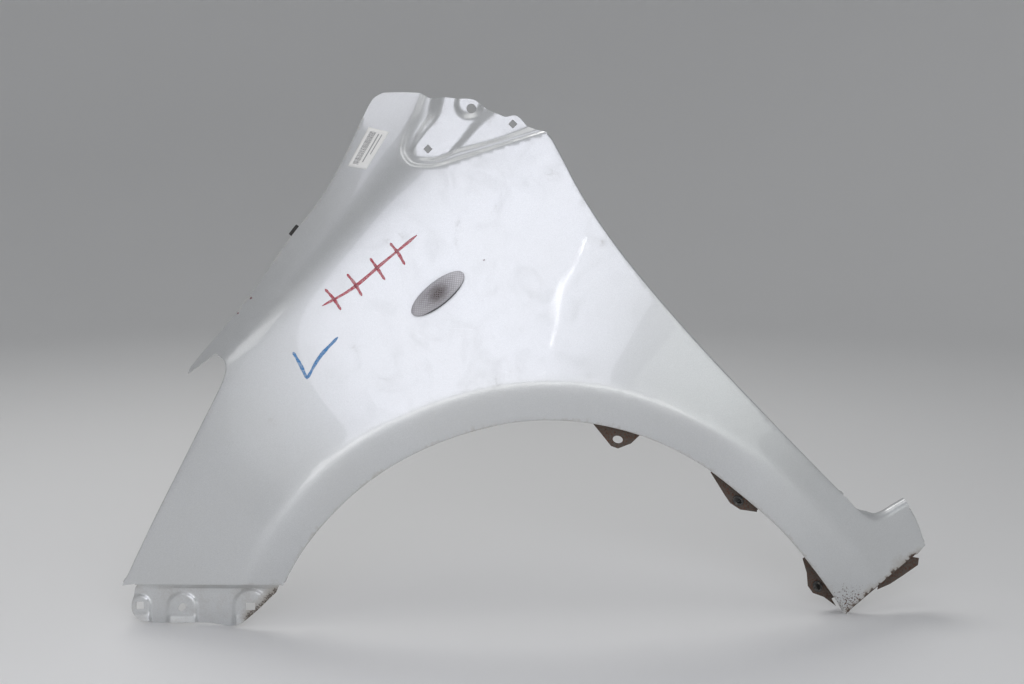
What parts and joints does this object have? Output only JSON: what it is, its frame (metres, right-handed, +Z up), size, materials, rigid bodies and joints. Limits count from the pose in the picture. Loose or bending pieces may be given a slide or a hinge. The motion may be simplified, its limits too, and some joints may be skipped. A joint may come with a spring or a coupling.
{
  "type": "car fender",
  "caption": "Pressed steel front fender panel with a flared wheel arch, folded flanges, fixing tabs, a bolting recess and an oval side repeater lamp.",
  "frame": {"origin": "on the bolting pad of the recess at the top of the panel, where the panel is bolted to the car's body", "axes": "the panel stands as in the picture, turned about 39 degrees nose down and 8 degrees about the vertical from its attitude on the car, so that both its feet are level: +X along the panel towards its sill end, +Y in towards the car, +Z up"},
  "size_m": [0.995, 0.1734, 0.6446],
  "materials": {
    "silver_paint": "silver metallic paint under clear coat, with handling marks, dirt in the flanges and rust specks at the lower rear corner",
    "clear_lens": "clear, with a net of small diamond prisms inside, lightly scuffed",
    "foam_gasket": "dark closed-cell foam",
    "lamp_housing": "bright-coated inside",
    "amber_bulb": "amber glass",
    "bulb_holder": "moulded, fine grain",
    "liner_grommet": "black nylon, dusty",
    "stop_rubber": "black, dull"
  },
  "bodies": {
    "root": {"fender_panel": "silver_paint", "repeater_lens": "clear_lens", "repeater_gasket": "foam_gasket", "repeater_housing": "lamp_housing", "repeater_bulb": "amber_bulb", "repeater_bulb_holder": "bulb_holder", "arch_grommet_mid": "liner_grommet", "arch_grommet_low": "liner_grommet", "hood_stop_rubber": "stop_rubber"}
  },
  "joints": []
}
